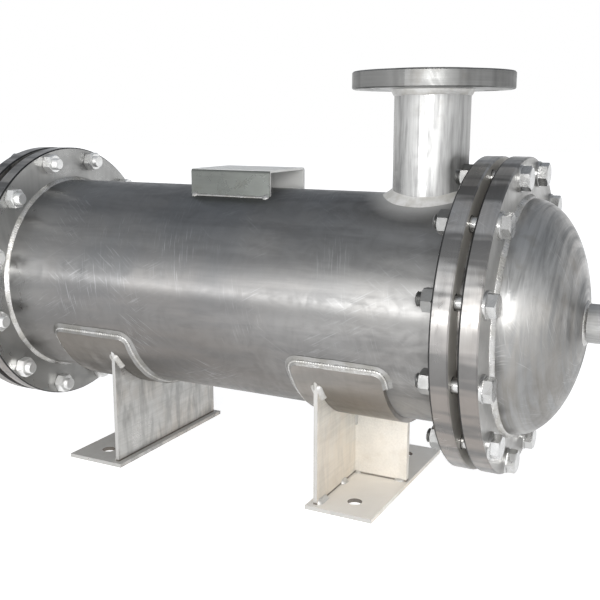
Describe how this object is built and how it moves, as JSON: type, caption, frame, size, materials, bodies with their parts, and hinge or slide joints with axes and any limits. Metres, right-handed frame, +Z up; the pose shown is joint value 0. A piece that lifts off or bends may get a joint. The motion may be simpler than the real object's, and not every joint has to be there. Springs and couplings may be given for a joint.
{
  "type": "shell and tube heat exchanger",
  "caption": "Horizontal stainless shell and tube heat exchanger with bolted dished heads, flanged nozzles and welded saddles with anchor holes.",
  "frame": {"origin": "on the floor, in the middle of the four anchor holes of the two saddles", "axes": "+X along the shell towards the top nozzle's end, +Z up, -Y the side that the picture shows"},
  "size_m": [1.0517, 0.4625, 0.5145],
  "materials": {
    "shell_steel": "buffed, fine swirl marks",
    "flange_steel": "turned and polished",
    "head_steel": "buffed, near-vertical streaks",
    "nozzle_steel": "polished pipe",
    "bracket_steel": "folded sheet",
    "saddle_plate": "ground plate",
    "bundle_steel": "drawn tube and plain plate",
    "bolting": "machined",
    "gasket_fibre": "pressed fibre"
  },
  "bodies": {
    "root": {"baffles": "bundle_steel", "left_dished_head": "head_steel", "left_gasket": "gasket_fibre", "left_head_flange": "flange_steel", "left_head_nozzle_flange": "flange_steel", "left_head_nozzle_pipe": "nozzle_steel", "left_saddle_base": "saddle_plate", "left_saddle_rib": "saddle_plate", "left_saddle_web": "saddle_plate", "left_tubesheet": "flange_steel", "left_wear_pad": "saddle_plate", "nameplate_bracket": "bracket_steel", "rear_nozzle_flange": "flange_steel", "rear_nozzle_pipe": "nozzle_steel", "right_dished_head": "head_steel", "right_gasket": "gasket_fibre", "right_head_flange": "flange_steel", "right_head_nozzle_flange": "flange_steel", "right_head_nozzle_pipe": "nozzle_steel", "right_saddle_base": "saddle_plate", "right_saddle_rib": "saddle_plate", "right_saddle_web": "saddle_plate", "right_tubesheet": "flange_steel", "right_wear_pad": "saddle_plate", "shell_barrel": "shell_steel", "tie_rods": "bolting", "top_nozzle_flange": "flange_steel", "top_nozzle_pipe": "nozzle_steel", "tubes": "bundle_steel"}
  },
  "joints": []
}
